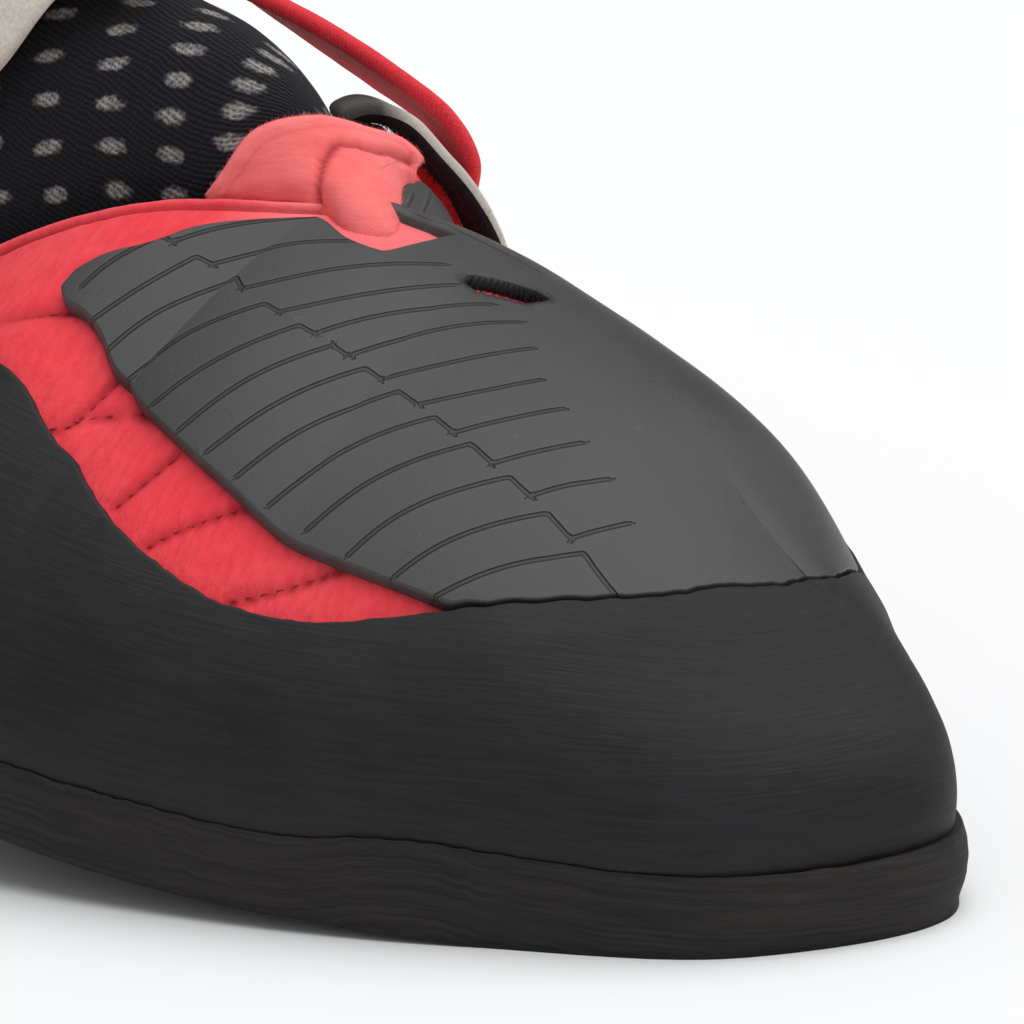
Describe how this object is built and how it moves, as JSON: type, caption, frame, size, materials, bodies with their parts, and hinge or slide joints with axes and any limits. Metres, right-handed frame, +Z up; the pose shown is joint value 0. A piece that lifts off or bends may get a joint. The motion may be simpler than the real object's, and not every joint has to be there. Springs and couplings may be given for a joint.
{
  "type": "climbing shoe",
  "caption": "Right climbing shoe with a low downturned toe, rubber rand and grooved toe patch, stretchy tongue, D-shaped throat flap and one instep strap.",
  "frame": {"origin": "middle of the heel's flat spot, on the floor plane under the shoe", "axes": "+X along the shoe towards the toe, +Y towards the inner (medial) side, +Z up"},
  "size_m": [0.2553, 0.0983, 0.0984],
  "materials": {
    "sole_rubber": "ground matte rubber with fine sanding lines",
    "rand_rubber": "buffed matte black rubber",
    "patch_rubber": "smooth satin rubber with moulded grooves",
    "red_suede": "soft napped red suede",
    "flap_suede": "soft napped salmon red suede",
    "insole_felt": "matte felted lining board",
    "dotted_knit": "black stretch knit with pale dots",
    "red_webbing": "matte red strap",
    "pale_felt": "off-white felt-like end",
    "dark_pile": "dark hook-and-loop pile",
    "dark_webbing": "woven dark tape"
  },
  "bodies": {
    "root": {"outsole": "sole_rubber", "rand": "rand_rubber", "toe_patch": "patch_rubber", "heel_cup": "rand_rubber", "upper": "red_suede", "throat_flap": "flap_suede", "insole": "insole_felt", "tongue": "dotted_knit", "strap": "red_webbing", "strap_tab": "pale_felt", "strap_anchor": "red_webbing", "hook_pad": "dark_pile", "pull_loop_outer": "dark_webbing", "pull_loop_inner": "dark_webbing"}
  },
  "joints": []
}
